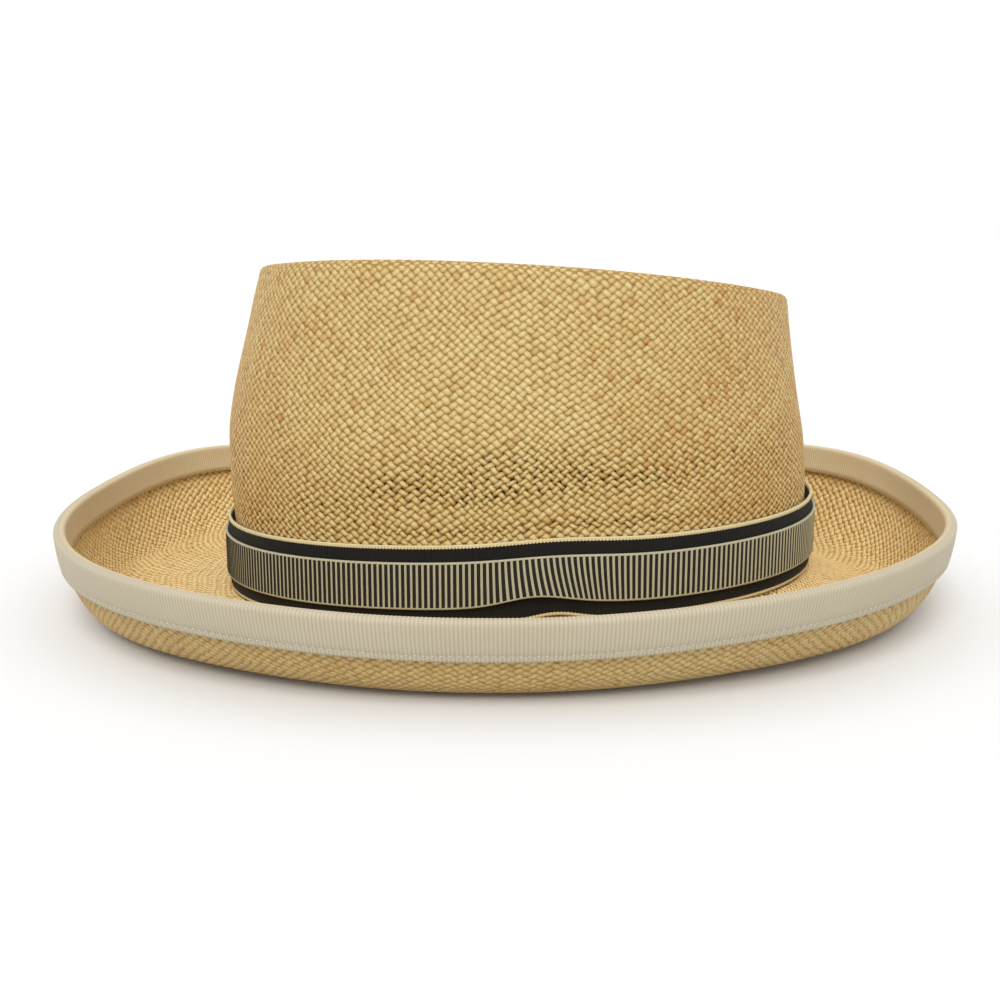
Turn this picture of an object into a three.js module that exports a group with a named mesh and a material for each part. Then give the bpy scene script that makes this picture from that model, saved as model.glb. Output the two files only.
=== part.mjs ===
// Straw hat: an oval crown with a creased top, a flat brim and its rolled edge, a ribbon folded
// over that edge, a wide plain hat band and a narrower striped band laid over it.
// Millimetres, +Z up. The front of the hat faces -X and the brim rests on z = 0.
import * as THREE from "three";

// Straw
const strawWall = 1.3;
const clearance = 0.3;

// Head opening, measured inside the straw
const headLength = 199.4;
const headWidth = 165.5;
const headSetBack = 4.5;
const headOvalPower = 2.18;

// Crest: the edge between the side of the crown and its top
const crestLength = 182;
const crestWidth = 152.4;
const crestSetBack = 5.8;
const crestHeight = 108.4;
const crestFrontRise = 4.5;
const crestSideRise = 5.2;
const crestNearRise = 2.7;
const crestRadius = 3;
const creaseDepth = 14;

// Root: the line where the crown meets the brim, on the upper face of the straw
const rootHeight = 7.7;
const rootBackRise = 4.7;
const rootSideRise = 1.4;
const rootRadius = 1.5;

// Brim, measured over its binding
const brimFrontReach = 157.3;
const brimBackReach = 151.7;
const brimHalfWidth = 138.5;
const brimOvalPower = 2.2;
const brimNarrowingShare = 0.05;
const brimDroopPower = 1.5;
const lipHeight = 30.8;
const lipLeanAngle = 82;
const curlRun = 24;
const restWidth = 7;

// Ribbons
const ribbonWall = 1;
const bindingOuterWidth = 10.3;
const bindingInnerWidth = 9.2;
const bandWidth = 23.8;
const bandLift = 1.2;
const bandStandOff = 1.2;
const stripedWidth = 14.6;
const stripedDrop = 5;

// Lifts of the bands on the near side of the crown: both bands swell upwards, and the lower
// edge of the striped band ripples
const swellLift = 1.3;
const swellLength = 20;
const swellPlace = 20;
const rippleLift = 2.5;
const rippleLength = 12.5;
const ripplePlace = 12.5;

// Points around the hat, and points closer than this are one
const stepsAround = 60;
const samePoint = 1e-6;

// Rows across the straw: turns of the rounded bends in degrees, and shares of the way across
// the slope of the brim, the curl up to the binding and the inner width of the binding
const crestTurns = [90, 60, 30, 0];
const rootTurns = [0, 45];
const slopeShares = [0, 0.3, 0.65];
const curlShares = [0.36, 0.7];
const bindingShares = [1, 0.5, 0];

// Rounded corners of the binding over the lip, as shares of its reach to the side and its wall
const foldSide = 0.72;
const foldRise = 0.75;

// Side of the crown between the root (height 0) and the crest (height 1). The other columns say
// how far each end and the sides have moved from the size of the head opening to the crest's.
const crownSections = [
  { height: 0.93, front: 0.81, back: 0.91, side: 0.84 },
  { height: 0.84, front: 0.6, back: 0.78, side: 0.66 },
  { height: 0.74, front: 0.34, back: 0.62, side: 0.46 },
  { height: 0.63, front: 0.08, back: 0.42, side: 0.26 },
  { height: 0.52, front: -0.09, back: 0.2, side: 0.1 },
  { height: 0.41, front: -0.11, back: 0.07, side: 0.03 },
  { height: 0.3, front: -0.08, back: 0, side: 0 },
  { height: 0.2, front: 0, back: 0, side: 0 },
];

// Top of the crown from the crest inwards: reach as a share of the crest, drop as a share of
// the crease depth. The last row is the middle of the top.
const topSections = [
  { reach: 0.985, drop: 0.12 },
  { reach: 0.955, drop: 0.55 },
  { reach: 0.92, drop: 0.9 },
  { reach: 0.87, drop: 1.0 },
  { reach: 0.79, drop: 0.9 },
  { reach: 0.63, drop: 0.68 },
  { reach: 0.42, drop: 0.52 },
  { reach: 0.21, drop: 0.44 },
  { reach: 0, drop: 0.42 },
];

// Rolled edge around the hat, from the back (0 degrees) by way of the far side (90):
// lip height and run of the curl, each as a share of its named size.
const brimSections = [
  { angle: 0, lip: 1.07, run: 0.75 },
  { angle: 30, lip: 1.2, run: 1.1 },
  { angle: 60, lip: 1.07, run: 1.2 },
  { angle: 90, lip: 0.8, run: 1.0 },
  { angle: 120, lip: 0.91, run: 1.2 },
  { angle: 150, lip: 1.12, run: 0.95 },
  { angle: 180, lip: 1.03, run: 0.65 },
  { angle: 210, lip: 0.98, run: 0.9 },
  { angle: 240, lip: 0.95, run: 1.22 },
  { angle: 270, lip: 0.89, run: 1.08 },
  { angle: 300, lip: 0.97, run: 1.3 },
  { angle: 330, lip: 1.04, run: 1.08 },
];

const halfWall = strawWall / 2;
const degree = Math.PI / 180;
const angles = Array.from({ length: stepsAround }, (_, step) => (2 * Math.PI * step) / stepsAround);
const mix = (from, to, share) => from + (to - from) * share;

// Shares of the half length and half width at one angle of a squarish oval
function ovalShares(angle, power) {
  const cosine = Math.cos(angle);
  const sine = Math.sin(angle);
  return {
    along: Math.sign(cosine) * Math.abs(cosine) ** (2 / power),
    across: Math.sign(sine) * Math.abs(sine) ** (2 / power),
  };
}

// Smooth closed curve through one column of the brim sections
function brimValue(column, angle) {
  const rows = brimSections.length;
  const place = (angle / (2 * Math.PI)) * rows;
  const row = Math.floor(place);
  const share = place - row;
  const value = (index) => brimSections[(index + rows) % rows][column];
  const [before, start, end, after] = [value(row - 1), value(row), value(row + 1), value(row + 2)];
  const bend = (3 * (start - end) + after - before) * share;
  const rise = (2 * before - 5 * start + 4 * end - after + bend) * share;
  return start + 0.5 * share * (end - before + rise);
}

// Middle of the straw on the crest oval, pulled in by an inset and then by a reach
function crestPoint(angle, inset, reach, drop) {
  const { along, across } = ovalShares(angle, headOvalPower);
  const sideways = across * reach;
  const slope = crestSideRise * sideways ** 2 - crestNearRise * sideways - crestFrontRise * along * reach;
  return new THREE.Vector3(
    crestSetBack + (crestLength / 2 - inset) * reach * along,
    (crestWidth / 2 - inset) * reach * across,
    crestHeight - halfWall + slope - drop,
  );
}

// Upper face of the brim where it meets the crown
function rootTop(angle) {
  const { along, across } = ovalShares(angle, headOvalPower);
  return rootHeight + rootBackRise * along + rootSideRise * across ** 2;
}

// Head oval, grown outwards from the inside of the straw
function headPoint(angle, growth, z) {
  const { along, across } = ovalShares(angle, headOvalPower);
  const x = headSetBack + (headLength / 2 + growth) * along;
  return new THREE.Vector3(x, (headWidth / 2 + growth) * across, z);
}

// Side of the crown at one row of the crown sections
function sidePoint(angle, row) {
  const crest = crestPoint(angle, halfWall, 1, crestRadius - halfWall);
  const root = headPoint(angle, halfWall, rootTop(angle) - halfWall);
  const end = Math.cos(angle) < 0 ? row.front : row.back;
  const lean = mix(row.side, end, Math.cos(angle) ** 2);
  const z = mix(root.z, crest.z, row.height);
  return new THREE.Vector3(mix(root.x, crest.x, lean), mix(root.y, crest.y, lean), z);
}

// Brim oval, pulled in from the outside of the binding
function brimPoint(angle, inset, z) {
  const { along, across } = ovalShares(angle, brimOvalPower);
  const reach = along < 0 ? brimFrontReach : brimBackReach;
  const widestAt = (brimFrontReach - brimBackReach) / 2;
  const y = (brimHalfWidth - inset) * across * (1 - brimNarrowingShare * along);
  return new THREE.Vector3(widestAt + (reach - inset) * along, y, z);
}

// How far the edge of the resting ring lies in from the outside of the binding
function ringInset(angle) {
  return curlRun * brimValue("run", angle) - restWidth / 2;
}

// Rolled part of the brim: turn 0 is the edge of the resting ring, turn 1 the lip of the straw
function curlPoint(angle, turn) {
  const lean = lipLeanAngle * degree;
  const bow = Math.sin(turn * lean) / Math.sin(lean);
  const climb = (1 - Math.cos(turn * lean)) / (1 - Math.cos(lean));
  const lipInset = ribbonWall + clearance + halfWall;
  const lipZ = lipHeight * brimValue("lip", angle) - ribbonWall - clearance;
  return brimPoint(angle, mix(ringInset(angle), lipInset, bow), mix(halfWall, lipZ, climb));
}

// Turn of the curl that lies a given distance below the lip
function turnBelowLip(angle, distance) {
  return 1 - distance / (lipHeight * brimValue("lip", angle) * lipLeanAngle * degree);
}

// Straw between the root and the resting ring
function slopePoint(angle, share) {
  const root = headPoint(angle, halfWall + rootRadius, rootTop(angle) - halfWall);
  const ring = brimPoint(angle, ringInset(angle) + restWidth, halfWall);
  const drop = (1 - share) ** brimDroopPower;
  return new THREE.Vector3(mix(root.x, ring.x, share), mix(root.y, ring.y, share), mix(ring.z, root.z, drop));
}

// Distances below the lip that the straw and its binding share
const bindingDistances = [
  bindingOuterWidth,
  ...bindingShares.map((share) => bindingInnerWidth * share),
];

// One row of the straw's middle surface. It can be made to face straight up or straight out.
function surfaceRow(point, facing) {
  return { points: angles.map(point), facing };
}

// Rows from the middle of the top, over the crest, to the side of the crown
function topRows() {
  const bend = crestRadius - halfWall;
  const crease = [...topSections].reverse().map(({ reach, drop }) => (
    surfaceRow((angle) => crestPoint(angle, crestRadius, reach, drop * creaseDepth))
  ));
  const crest = crestTurns.map((turn) => {
    const inset = halfWall + bend * (1 - Math.cos(turn * degree));
    const point = (angle) => crestPoint(angle, inset, 1, bend * (1 - Math.sin(turn * degree)));
    return surfaceRow(point, turn === 0 ? "out" : undefined);
  });
  return [...crease, ...crest];
}

// Rows from the crest down to the root
function sideRows() {
  const start = (angle) => crestPoint(angle, halfWall, 1, crestRadius - halfWall + clearance);
  const side = crownSections.map((row) => surfaceRow((angle) => sidePoint(angle, row)));
  const end = (angle) => headPoint(angle, halfWall, rootTop(angle) - halfWall + rootRadius + clearance);
  return [surfaceRow(start, "out"), ...side, surfaceRow(end, "out")];
}

// Rows from the crown out to the edge of the resting ring
function brimRows() {
  const root = rootTurns.map((turn) => {
    const growth = halfWall + rootRadius * (1 - Math.cos(turn * degree));
    const lift = rootRadius * (1 - Math.sin(turn * degree));
    const point = (angle) => headPoint(angle, growth, rootTop(angle) - halfWall + lift);
    return surfaceRow(point, turn === 0 ? "out" : undefined);
  });
  const slope = slopeShares.map((share) => surfaceRow((angle) => slopePoint(angle, share)));
  const end = (angle) => brimPoint(angle, ringInset(angle) + clearance, halfWall);
  return [...root, ...slope, surfaceRow((angle) => slopePoint(angle, 1), "up"), surfaceRow(end, "up")];
}

// Rows from the resting ring up to the lip
function rollRows() {
  const curl = curlShares.map((share) => (
    surfaceRow((angle) => curlPoint(angle, share * turnBelowLip(angle, bindingOuterWidth)))
  ));
  const bound = bindingDistances.map((distance) => (
    surfaceRow((angle) => curlPoint(angle, turnBelowLip(angle, distance)))
  ));
  return [surfaceRow((angle) => curlPoint(angle, 0), "up"), ...curl, ...bound];
}

// Gives each point of the rows its direction out of the upper face
function faceRows(rows) {
  rows.forEach((row, index) => {
    const before = rows[Math.max(index - 1, 0)].points;
    const after = rows[Math.min(index + 1, rows.length - 1)].points;
    row.directions = row.points.map((_, step) => {
      if (row.facing === "up" || index === 0) {
        return new THREE.Vector3(0, 0, 1);
      }
      const next = (step + 1) % stepsAround;
      const last = (step + stepsAround - 1) % stepsAround;
      const around = row.points[next].clone().sub(row.points[last]);
      const down = new THREE.Vector3(0, 0, -1);
      const outwards = row.facing === "out" ? down : after[step].clone().sub(before[step]);
      return outwards.cross(around).normalize();
    });
  });
}

// A row, or points beside it, moved along its directions
function movedRow({ points, directions }, distance) {
  return points.map((point, step) => point.clone().addScaledVector(directions[step], distance));
}

// Closed body through rings of points. Rings close on themselves from last to first, or end in
// a single point where a ring has shrunk to its middle.
function closedBody(rings, looped) {
  const positions = [];
  const triangle = (a, b, c) => {
    const sides = [a.distanceTo(b), b.distanceTo(c), c.distanceTo(a)];
    if (Math.min(...sides) > samePoint) {
      positions.push(...a.toArray(), ...b.toArray(), ...c.toArray());
    }
  };
  const strips = looped ? rings.length : rings.length - 1;
  for (let index = 0; index < strips; index += 1) {
    const ring = rings[index];
    const following = rings[(index + 1) % rings.length];
    for (let step = 0; step < stepsAround; step += 1) {
      const next = (step + 1) % stepsAround;
      triangle(ring[step], following[step], following[next]);
      triangle(ring[step], following[next], ring[next]);
    }
  }
  const geometry = new THREE.BufferGeometry();
  geometry.setAttribute("position", new THREE.Float32BufferAttribute(positions, 3));
  geometry.computeVertexNormals();
  return geometry;
}

// Straw: its middle surface with half a wall on either face
function strawShell(rows, looped) {
  const upper = rows.map((row) => movedRow(row, halfWall));
  const lower = rows.map((row) => movedRow(row, -halfWall));
  return closedBody([...upper, ...lower.reverse()], looped);
}

// Ribbon folded over the lip: down the outside of the roll and a shorter way down the inside
function brimBinding(roll) {
  const near = halfWall + clearance;
  const far = near + ribbonWall;
  const outside = roll.slice(-bindingDistances.length);
  const inside = outside.slice(1);
  const lip = roll.at(-1);
  const belowLip = roll.at(-2);
  const corner = (side, height) => {
    const points = lip.points.map((point, step) => {
      const up = point.clone().sub(belowLip.points[step]).normalize();
      return point.clone().addScaledVector(up, height);
    });
    return movedRow({ points, directions: lip.directions }, side);
  };
  const fold = clearance + ribbonWall * foldRise;
  const rings = [
    ...inside.map((row) => movedRow(row, far)),
    corner(far * foldSide, fold),
    corner(-far * foldSide, fold),
    ...[...outside].reverse().map((row) => movedRow(row, -far)),
    ...outside.map((row) => movedRow(row, -near)),
    corner(-near, clearance),
    corner(near, clearance),
    ...[...inside].reverse().map((row) => movedRow(row, near)),
  ];
  return closedBody(rings, true);
}

// Band standing around the crown between two heights, given for each angle
function bandAroundCrown(innerGap, bottomOf, topOf) {
  const growth = (angle) => strawWall + innerGap + bandStandOff * Math.cos(angle) ** 2;
  const ring = (extra, share) => angles.map((angle) => {
    const z = mix(bottomOf(angle), topOf(angle), share);
    return headPoint(angle, growth(angle) + extra, z);
  });
  const rings = [
    ring(0, 0),
    ring(0, 1),
    ring(ribbonWall, 1),
    ring(ribbonWall, 0),
  ];
  return closedBody(rings, true);
}

// Share of a lift that reaches an angle, from 0 to 1, about one place on the near side
function nearShare(angle, place, length) {
  const { x, y } = headPoint(angle, strawWall, 0);
  const nearSide = y < 0 ? 1 : 0;
  return nearSide * Math.exp(-(((x - place) / length) ** 2));
}

function bandBottom(angle) {
  return rootTop(angle) + bandLift + swellLift * nearShare(angle, swellPlace, swellLength);
}

function bandTop(angle) {
  return bandBottom(angle) + bandWidth;
}

function stripedBottom(angle) {
  const ripple = rippleLift * nearShare(angle, ripplePlace, rippleLength);
  return stripedTop(angle) - stripedWidth + ripple;
}

function stripedTop(angle) {
  return bandTop(angle) - stripedDrop;
}

function named(name, geometry, color, roughness) {
  const mesh = new THREE.Mesh(geometry, new THREE.MeshStandardMaterial({ color, roughness, metalness: 0 }));
  mesh.name = name;
  return mesh;
}

const top = topRows();
const side = sideRows();
const brim = brimRows();
const roll = rollRows();
faceRows([...top, ...side, ...brim, ...roll]);

const hat = new THREE.Group();
hat.add(
  named("straw_top", strawShell(top, false), 0xcbaa6b, 0.75),
  named("straw_side", strawShell(side, true), 0xcbaa6b, 0.75),
  named("straw_brim", strawShell(brim, true), 0xcbaa6b, 0.75),
  named("straw_roll", strawShell(roll, true), 0xcbaa6b, 0.75),
  named("brim_binding", brimBinding(roll), 0xd8cfb2, 0.85),
  named("wide_band", bandAroundCrown(clearance, bandBottom, bandTop), 0x1c1a17, 0.8),
  named(
    "striped_band",
    bandAroundCrown(2 * clearance + ribbonWall, stripedBottom, stripedTop),
    0x6e6b58,
    0.75,
  ),
);

export default hat;
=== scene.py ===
# %% [markdown]
# # A straw hat
# The hat is woven from split palm straw, blocked to an oval crown with a creased top, and rolled
# up all round its brim. A cream ribbon binds the edge, a black ribbon goes round the crown, and a
# narrower striped ribbon lies over it. The measured solids come first. Each visible piece is then
# made over them, in metres and in the same place.

# %% Load the measured solids
import math

import bmesh
import bpy
import numpy as np
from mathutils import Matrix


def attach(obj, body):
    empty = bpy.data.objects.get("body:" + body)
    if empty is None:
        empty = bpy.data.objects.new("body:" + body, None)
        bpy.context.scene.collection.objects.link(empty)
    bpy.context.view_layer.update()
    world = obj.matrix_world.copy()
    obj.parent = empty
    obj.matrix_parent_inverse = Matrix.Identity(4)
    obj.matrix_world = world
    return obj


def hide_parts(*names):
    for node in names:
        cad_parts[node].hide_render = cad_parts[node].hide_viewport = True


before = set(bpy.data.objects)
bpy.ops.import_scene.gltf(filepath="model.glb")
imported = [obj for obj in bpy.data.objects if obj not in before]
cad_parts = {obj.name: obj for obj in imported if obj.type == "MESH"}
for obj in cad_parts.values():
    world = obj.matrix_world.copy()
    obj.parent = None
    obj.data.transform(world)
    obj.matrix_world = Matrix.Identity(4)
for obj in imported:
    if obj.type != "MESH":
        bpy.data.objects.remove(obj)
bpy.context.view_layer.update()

# %% [markdown]
# ## View, floor and light
# A camera is set by where it stands, how it is turned and how long its lens is. This one stands
# 45 cm from the middle of the hat, a little above the brim, and looks down by about 12 degrees.
# A pale floor and an even white sky give soft light from all round, and one broad sun from above
# shows the relief of the weave.

# %% Camera
SCENE = bpy.context.scene
camera = bpy.data.objects.new("camera", bpy.data.cameras.new("camera"))
SCENE.collection.objects.link(camera)
camera.location = (0.02134, -0.44965, 0.12611)
camera.rotation_euler = (math.radians(90 - 11.87), 0, math.radians(3))
camera.data.sensor_width = 36
camera.data.lens = 45.6
camera.data.shift_y = -0.0058
camera.data.clip_start = 0.01
SCENE.camera = camera
SCENE.view_settings.view_transform = "Standard"
print("camera stands at", tuple(round(value, 4) for value in camera.location))

# %% Floor, sky and sun
def add_node(tree, kind, inputs=(), **settings):
    """Adds one node. Inputs are values or the sockets that feed them."""
    made = tree.nodes.new(kind)
    for name, value in settings.items():
        setattr(made, name, value)
    for name, value in dict(inputs).items():
        if isinstance(value, bpy.types.NodeSocket):
            tree.links.new(value, made.inputs[name])
        else:
            made.inputs[name].default_value = value
    return made


def calc(tree, operation, *values):
    """The result of one sum, on numbers or sockets."""
    return add_node(tree, "ShaderNodeMath", dict(enumerate(values)), operation=operation).outputs[0]


def new_finish(name):
    """An empty material with its surface shader."""
    finish = bpy.data.materials.new(name)
    finish.use_nodes = True
    return finish, finish.node_tree, finish.node_tree.nodes["Principled BSDF"]


floor_finish, _, shader = new_finish("pale_floor")
shader.inputs["Base Color"].default_value = (0.72, 0.72, 0.72, 1)
shader.inputs["Roughness"].default_value = 0.9
shader.inputs["Specular IOR Level"].default_value = 0.1
bpy.ops.mesh.primitive_circle_add(vertices=96, radius=14, fill_type="NGON")
floor = bpy.context.object
floor.name = "floor"
floor.data.materials.append(floor_finish)

sky = bpy.data.worlds.new("even_sky")
sky.use_nodes = True
sky.node_tree.nodes["Background"].inputs["Color"].default_value = (1, 1, 1, 1)
sky.node_tree.nodes["Background"].inputs["Strength"].default_value = 1.0
SCENE.world = sky

sun = bpy.data.objects.new("broad_sun", bpy.data.lights.new("broad_sun", "SUN"))
SCENE.collection.objects.link(sun)
sun.data.energy = 1.9
sun.data.angle = math.radians(35)
sun.rotation_euler = (math.radians(40), math.radians(-3), 0)
print("floor, sky and sun are set")

# %% [markdown]
# ## The shape of the straw
# The crown and brim are one curved sheet. Its middle surface can be written as a rule: an angle
# around the hat, and a way from the middle of the top, over the crest, down the side, and out
# over the brim to the lip. The sizes and sections are those of the solids. A rule gives a smooth
# surface at any fineness, and tells each stitch where it lies and which way it faces.

# %% Sizes, in millimetres
STRAW_WALL = 1.3
HALF_WALL = STRAW_WALL / 2
CLEARANCE = 0.3
HEAD_LENGTH, HEAD_WIDTH, HEAD_SET_BACK, HEAD_OVAL_POWER = 199.4, 165.5, 4.5, 2.18
CREST_LENGTH, CREST_WIDTH, CREST_SET_BACK, CREST_HEIGHT = 182, 152.4, 5.8, 108.4
CREST_FRONT_RISE, CREST_SIDE_RISE, CREST_NEAR_RISE = 4.5, 5.2, 2.7
CREST_RADIUS, CREASE_DEPTH = 3, 14
ROOT_HEIGHT, ROOT_BACK_RISE, ROOT_SIDE_RISE, ROOT_RADIUS = 7.7, 4.7, 1.4, 1.5
BRIM_FRONT_REACH, BRIM_BACK_REACH, BRIM_HALF_WIDTH = 157.3, 151.7, 138.5
BRIM_OVAL_POWER, BRIM_NARROWING, BRIM_DROOP_POWER = 2.2, 0.05, 1.5
LIP_HEIGHT, LIP_LEAN, CURL_RUN, REST_WIDTH = 30.8, math.radians(82), 24, 7
RIBBON_WALL, BINDING_OUTER_WIDTH, BINDING_INNER_WIDTH = 1, 10.3, 9.2
BAND_WIDTH, BAND_LIFT, BAND_STAND_OFF = 23.8, 1.2, 1.2
STRIPED_WIDTH, STRIPED_DROP = 14.6, 5
RIPPLE_LIFT, RIPPLE_LENGTH, RIPPLE_PLACE = 2.5, 12.5, 12.5
SWELL_LIFT, SWELL_LENGTH, SWELL_PLACE = 1.3, 20, 20

# height, front, back, side: how far the side of the crown has moved from the head to the crest
CROWN_SECTIONS = np.array([
    (0.0, 0.0, 0.0, 0.0),
    (0.2, 0.0, 0.0, 0.0),
    (0.3, -0.08, 0.0, 0.0),
    (0.41, -0.11, 0.07, 0.03),
    (0.52, -0.09, 0.2, 0.1),
    (0.63, 0.08, 0.42, 0.26),
    (0.74, 0.34, 0.62, 0.46),
    (0.84, 0.6, 0.78, 0.66),
    (0.93, 0.81, 0.91, 0.84),
    (1.0, 1.0, 1.0, 1.0),
])
# reach and drop: the crease inside the crest, from the middle of the top outwards
TOP_SECTIONS = np.array([
    (0.0, 0.42),
    (0.21, 0.44),
    (0.42, 0.52),
    (0.63, 0.68),
    (0.79, 0.9),
    (0.87, 1.0),
    (0.92, 0.9),
    (0.955, 0.55),
    (0.985, 0.12),
    (0.996, 0.01),
    (1.0, 0.0),
])
# lip and run of the rolled edge every 30 degrees, from the back by way of the far side
BRIM_SECTIONS = np.array([
    (1.07, 0.75),
    (1.2, 1.1),
    (1.07, 1.2),
    (0.8, 1.0),
    (0.91, 1.2),
    (1.12, 0.95),
    (1.03, 0.65),
    (0.98, 0.9),
    (0.95, 1.22),
    (0.89, 1.08),
    (0.97, 1.3),
    (1.04, 1.08),
])
print("tables:", CROWN_SECTIONS.shape, TOP_SECTIONS.shape, BRIM_SECTIONS.shape)

# %% Curves through the tables
def mix(start, end, share):
    return start + (end - start) * share


def smooth(places, values, at):
    """A smooth curve through a table's column."""
    slopes = np.gradient(values, places)
    row = np.clip(np.searchsorted(places, at) - 1, 0, len(places) - 2)
    step = places[row + 1] - places[row]
    t = (at - places[row]) / step
    held = (1 + 2 * t) * (1 - t) ** 2 * values[row] + t * t * (3 - 2 * t) * values[row + 1]
    return held + t * (1 - t) * step * ((1 - t) * slopes[row] - t * slopes[row + 1])


def around_brim(column, angle):
    """A smooth closed curve through a column of the brim sections."""
    rows = len(BRIM_SECTIONS)
    place = angle / (2 * np.pi) * rows
    row = np.floor(place).astype(int)
    t = place - row
    before, start, end, after = (BRIM_SECTIONS[(row + step) % rows, column] for step in (-1, 0, 1, 2))
    bend = (3 * (start - end) + after - before) * t
    rise = (2 * before - 5 * start + 4 * end - after + bend) * t
    return start + 0.5 * t * (end - before + rise)


def oval(angle, power):
    """Shares of the half length and half width at one angle of a squarish oval."""
    cosine, sine = np.cos(angle), np.sin(angle)
    return np.sign(cosine) * np.abs(cosine) ** (2 / power), np.sign(sine) * np.abs(sine) ** (2 / power)


def point(x, y, z):
    return np.stack(np.broadcast_arrays(x, y, z), axis=-1).astype(float)


print("lip at the back stands", LIP_HEIGHT * around_brim(0, np.array(0.0)), "mm high")

# %% Ovals of the crown and brim
def crest_point(angle, inset, reach, drop):
    along, across = oval(angle, HEAD_OVAL_POWER)
    along, across = along * reach, across * reach
    slope = CREST_SIDE_RISE * across**2 - CREST_NEAR_RISE * across - CREST_FRONT_RISE * along
    x, y = CREST_SET_BACK + (CREST_LENGTH / 2 - inset) * along, (CREST_WIDTH / 2 - inset) * across
    return point(x, y, CREST_HEIGHT - HALF_WALL + slope - drop)


def root_top(angle):
    along, across = oval(angle, HEAD_OVAL_POWER)
    return ROOT_HEIGHT + ROOT_BACK_RISE * along + ROOT_SIDE_RISE * across**2


def head_point(angle, growth, z):
    along, across = oval(angle, HEAD_OVAL_POWER)
    x = HEAD_SET_BACK + (HEAD_LENGTH / 2 + growth) * along
    return point(x, (HEAD_WIDTH / 2 + growth) * across, z)


def brim_point(angle, inset, z):
    along, across = oval(angle, BRIM_OVAL_POWER)
    reach = np.where(along < 0, BRIM_FRONT_REACH, BRIM_BACK_REACH)
    x = (BRIM_FRONT_REACH - BRIM_BACK_REACH) / 2 + (reach - inset) * along
    return point(x, (BRIM_HALF_WIDTH - inset) * across * (1 - BRIM_NARROWING * along), z)


def ring_inset(angle):
    return CURL_RUN * around_brim(1, angle) - REST_WIDTH / 2


print("head opening:", round(float(np.ptp(head_point(np.array([0, np.pi]), 0, 0)[:, 0])), 1), "mm long")

# %% Parts of the way from the middle of the top to the lip
def crease(angle, share):
    drop = CREASE_DEPTH * smooth(TOP_SECTIONS[:, 0], TOP_SECTIONS[:, 1], share)
    return crest_point(angle, CREST_RADIUS, share, drop)


def crest_bend(angle, share):
    turn, bend = np.pi / 2 * (1 - share), CREST_RADIUS - HALF_WALL
    return crest_point(angle, HALF_WALL + bend * (1 - np.cos(turn)), 1, bend * (1 - np.sin(turn)))


def crown_side(angle, share):
    crest = crest_point(angle, HALF_WALL, 1, CREST_RADIUS - HALF_WALL)
    root = head_point(angle, HALF_WALL, root_top(angle) - HALF_WALL)
    low = ROOT_RADIUS / (crest[..., 2] - root[..., 2])
    height = 1 - share * (1 - low)
    heights, *sides = CROWN_SECTIONS.T
    front, back, side = (smooth(heights, moved, height) for moved in sides)
    lean = mix(side, np.where(np.cos(angle) < 0, front, back), np.cos(angle) ** 2)
    x, y = mix(root[..., 0], crest[..., 0], lean), mix(root[..., 1], crest[..., 1], lean)
    return point(x, y, mix(root[..., 2], crest[..., 2], height))


def root_bend(angle, share):
    turn = np.pi / 2 * share
    z = root_top(angle) - HALF_WALL + ROOT_RADIUS * (1 - np.sin(turn))
    return head_point(angle, HALF_WALL + ROOT_RADIUS * (1 - np.cos(turn)), z)


def brim_slope(angle, share):
    root = head_point(angle, HALF_WALL + ROOT_RADIUS, root_top(angle) - HALF_WALL)
    ring = brim_point(angle, ring_inset(angle) + REST_WIDTH, HALF_WALL)
    x, y = mix(root[..., 0], ring[..., 0], share), mix(root[..., 1], ring[..., 1], share)
    return point(x, y, mix(ring[..., 2], root[..., 2], (1 - share) ** BRIM_DROOP_POWER))


def resting_ring(angle, share):
    return brim_point(angle, ring_inset(angle) + REST_WIDTH * (1 - share), HALF_WALL)


def brim_roll(angle, share):
    bow = np.sin(share * LIP_LEAN) / math.sin(LIP_LEAN)
    climb = (1 - np.cos(share * LIP_LEAN)) / (1 - math.cos(LIP_LEAN))
    lip_z = LIP_HEIGHT * around_brim(0, angle) - RIBBON_WALL - CLEARANCE
    inset = mix(ring_inset(angle), RIBBON_WALL + CLEARANCE + HALF_WALL, bow)
    return brim_point(angle, inset, mix(HALF_WALL, lip_z, climb))


PARTS = (crease, crest_bend, crown_side, root_bend, brim_slope, resting_ring, brim_roll)
CREST, SIDE, ROOT, BRIM, RING, ROLL, LIP = 1, 2, 3, 4, 5, 6, 7
print("the way from the middle of the top to the lip has", len(PARTS), "parts")

# %% The straw's middle surface and the way it faces
def straw(angle, way):
    """Middle of the straw, in millimetres, at angles around the hat and ways from top to lip."""
    angle, way = np.broadcast_arrays(np.asarray(angle, float), np.clip(way, 0, LIP))
    points = np.empty(angle.shape + (3,))
    number = np.minimum(np.floor(way).astype(int), len(PARTS) - 1)
    for start, part in enumerate(PARTS):
        here = number == start
        points[here] = part(angle[here], way[here] - start)
    return points


def unit(vectors):
    return vectors / np.maximum(np.linalg.norm(vectors, axis=-1, keepdims=True), 1e-12)


def facing(angle, way):
    """Direction out of the upper face of the straw."""
    angle, way = np.broadcast_arrays(np.asarray(angle, float), np.asarray(way, float))
    outwards = straw(angle, way + 0.02) - straw(angle, way - 0.02)
    around = straw(angle + 0.01, way) - straw(angle - 0.01, way)
    middle = np.asarray(way < 0.02)[..., None]
    return np.where(middle, (0, 0, 1), unit(np.cross(outwards, around)))


def turns_to_angles(turns, way):
    """Angles that lie at even steps along the oval at one way."""
    fine = np.linspace(0, 2 * np.pi, 3601)
    run = np.linalg.norm(np.diff(straw(fine, way), axis=0), axis=1).cumsum()
    run = np.concatenate([[0], run])
    whole = np.floor(turns)
    return np.interp((turns - whole) * run[-1], run, fine) + whole * 2 * np.pi


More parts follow.
